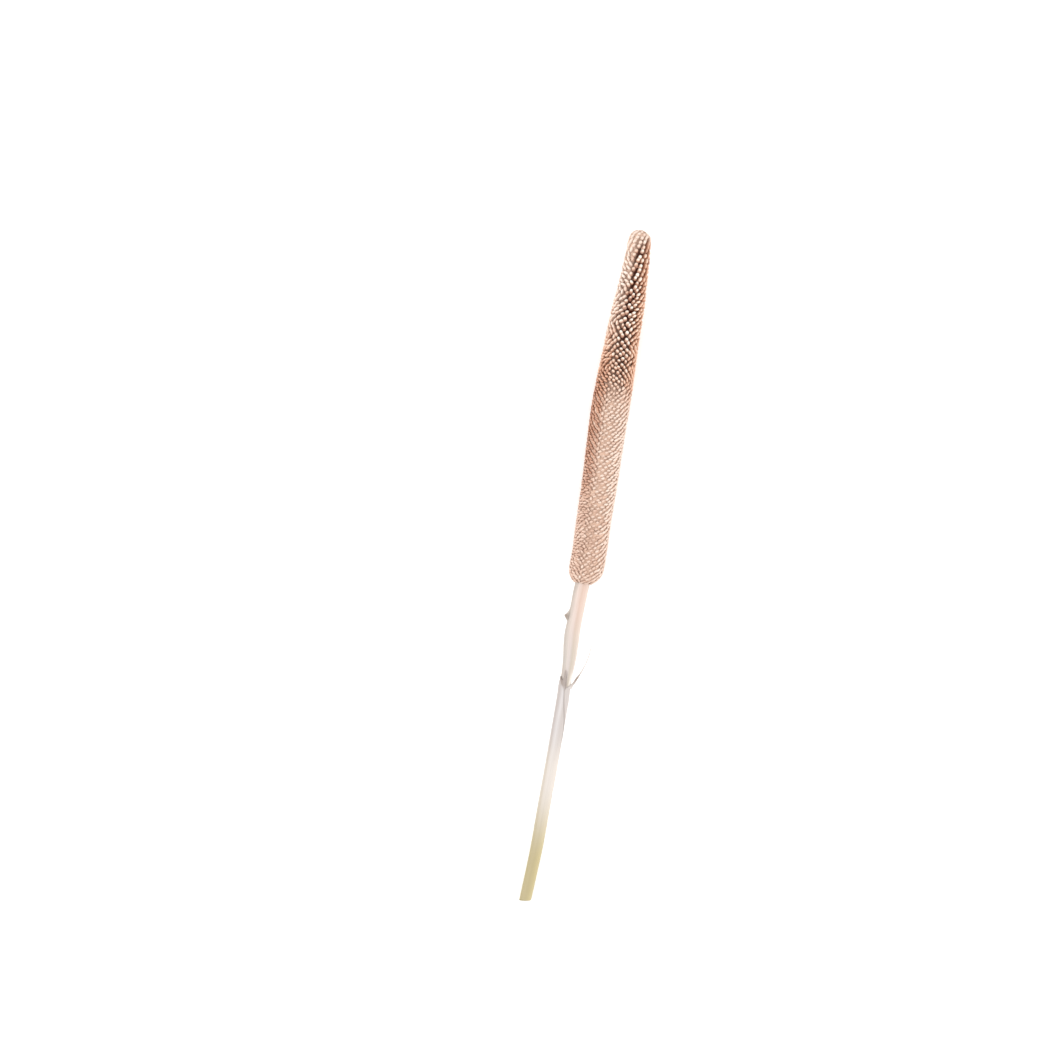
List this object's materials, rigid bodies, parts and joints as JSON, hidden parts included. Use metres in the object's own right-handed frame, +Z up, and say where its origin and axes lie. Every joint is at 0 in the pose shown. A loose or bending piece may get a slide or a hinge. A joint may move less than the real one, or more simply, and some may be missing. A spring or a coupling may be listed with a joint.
{
  "type": "dried pearl millet stalk",
  "caption": "Dried pearl millet stalk lying on its side: a long, blunt, grain-covered seed head on a cut straw stem, with a torn dry leaf sheath rolled round the stem's lower part.",
  "frame": {"origin": "on the surface the stalk lies on, below the middle of its box", "axes": "+Y along the stalk from the cut end to the tip of the seed head, +Z up from the surface it lies on"},
  "size_m": [0.025, 0.4096, 0.0228],
  "materials": {
    "seed_grain": "cream and pale brown grains, satin, in copper brown husks with dark gaps between them",
    "dry_stem": "dry straw, matt to faintly silky, finely ribbed along its length",
    "dry_leaf": "thin papery leaf, matt, veined along its length, yellow green towards the cut"
  },
  "bodies": {
    "root": {"seed_head": "seed_grain", "stem": "dry_stem", "leaf_sheath": "dry_leaf"}
  },
  "joints": []
}
